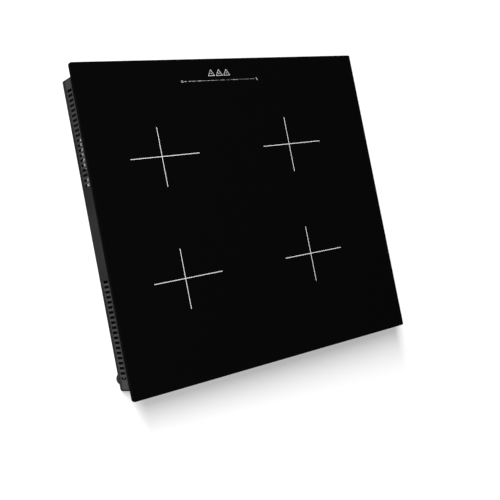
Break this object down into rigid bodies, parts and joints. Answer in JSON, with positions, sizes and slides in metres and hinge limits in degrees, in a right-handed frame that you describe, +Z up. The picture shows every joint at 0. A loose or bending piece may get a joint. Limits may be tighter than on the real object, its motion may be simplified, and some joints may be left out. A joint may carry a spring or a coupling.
{
  "type": "electric induction cooktop",
  "caption": "Built-in induction cooktop: black glass plate with cross-marked cooking zones over a vented steel tray with sprung coils, blowers, power boards and a hinged mains terminal box.",
  "frame": {"origin": "on the surface the rubber feet stand on, under the middle of the glass plate", "axes": "+Z up out of the cooking surface, -Y towards the user, +X to the user's right"},
  "size_m": [0.59, 0.52, 0.069],
  "materials": {
    "black_glass": "polished black ceramic glass",
    "black_rubber": "matt black rubber",
    "silicone": "cured silicone",
    "galvanised_steel": "galvanised sheet",
    "plated_steel": "zinc-plated",
    "spring_steel": "phosphated spring wire",
    "dark_plastic": "moulded, matt",
    "powder_coat": "dark grey powder coat, fine texture",
    "white_plastic": "moulded, matt",
    "bare_aluminium": "mill finish",
    "carrier_plastic": "glass-filled, matt",
    "copper_litz": "enamelled copper strands",
    "ferrite": "sintered, matt",
    "ceramic": "unglazed ceramic",
    "felt": "ceramic fibre felt",
    "white_sleeve": "braided glass-fibre sleeve",
    "circuit_board": "green solder mask",
    "black_epoxy": "moulded epoxy",
    "capacitor_case": "moulded case",
    "black_plastic": "moulded, matt",
    "motor_winding": "copper winding on a brass tube",
    "choke_core": "coated ring core",
    "wire_insulation": "PVC insulation",
    "ribbon": "flat cable",
    "foam": "conductive foam"
  },
  "bodies": {
    "chassis": {"glass_top": "black_glass", "rim_gasket": "black_rubber", "bond_silicone": "silicone", "glass_rail_front": "galvanised_steel", "glass_rail_rear": "galvanised_steel", "rail_screws": "plated_steel", "chassis_tray": "powder_coat", "rubber_feet": "black_rubber", "foot_screws": "plated_steel", "floor_posts": "dark_plastic", "coil_springs_left": "spring_steel", "coil_springs_right": "spring_steel", "coil_leads_left": "white_sleeve", "coil_leads_right": "white_sleeve", "electronics_tray_left": "dark_plastic", "electronics_tray_right": "dark_plastic", "power_board_left": "circuit_board", "power_board_right": "circuit_board", "board_screws": "plated_steel", "heat_sink_left": "bare_aluminium", "heat_sink_right": "bare_aluminium", "power_transistors_left": "black_epoxy", "power_transistors_right": "black_epoxy", "capacitors_left": "capacitor_case", "capacitors_right": "capacitor_case", "blower_housing_left": "black_plastic", "blower_housing_right": "black_plastic", "blower_motor_left": "motor_winding", "blower_motor_right": "motor_winding", "filter_board": "circuit_board", "filter_choke": "choke_core", "filter_capacitors": "capacitor_case", "mains_leads": "wire_insulation", "ribbon_cable": "ribbon", "terminal_box": "black_plastic", "terminal_block": "white_plastic", "cable_grommet": "black_rubber", "touch_holder": "black_plastic", "touch_board": "circuit_board", "touch_pads": "foam", "zone_displays": "black_plastic"},
    "coil_pack_left": {"coil_plate_left": "bare_aluminium", "coil_carrier_front_left": "carrier_plastic", "coil_carrier_rear_left": "carrier_plastic", "coil_winding_front_left": "copper_litz", "coil_winding_rear_left": "copper_litz", "ferrite_bars_left": "ferrite", "zone_sensors_left": "ceramic", "insulation_discs_left": "felt"},
    "coil_pack_right": {"coil_plate_right": "bare_aluminium", "coil_carrier_front_right": "carrier_plastic", "coil_carrier_rear_right": "carrier_plastic", "coil_winding_front_right": "copper_litz", "coil_winding_rear_right": "copper_litz", "ferrite_bars_right": "ferrite", "zone_sensors_right": "ceramic", "insulation_discs_right": "felt"},
    "fan_left": {"blower_rotor_left": "black_plastic"},
    "fan_right": {"blower_rotor_right": "black_plastic"},
    "cover": {"terminal_cover": "black_plastic"}
  },
  "joints": [
    {"name": "left_coil_float", "type": "slide", "parent": "chassis", "child": "coil_pack_left", "axis": [0, 0, 1], "range_m": [-0.002, 0], "stiffness_N_per_m": 6000, "springref_m": 0.01, "deforming": ["coil_springs_left", "coil_leads_left"]},
    {"name": "right_coil_float", "type": "slide", "parent": "chassis", "child": "coil_pack_right", "axis": [0, 0, 1], "range_m": [-0.002, 0], "stiffness_N_per_m": 6000, "springref_m": 0.01, "deforming": ["coil_springs_right", "coil_leads_right"]},
    {"name": "left_fan_spin", "type": "hinge", "parent": "chassis", "child": "fan_left", "pos_m": [-0.17, -0.11, 0.02], "axis": [0, 0, 1], "continuous": true},
    {"name": "right_fan_spin", "type": "hinge", "parent": "chassis", "child": "fan_right", "pos_m": [0.095, -0.11, 0.02], "axis": [0, 0, 1], "continuous": true},
    {"name": "terminal_cover_hinge", "type": "hinge", "parent": "chassis", "child": "cover", "pos_m": [0.232, 0.2445, 0.016], "axis": [-1, 0, 0], "range_deg": [0, 95]}
  ]
}
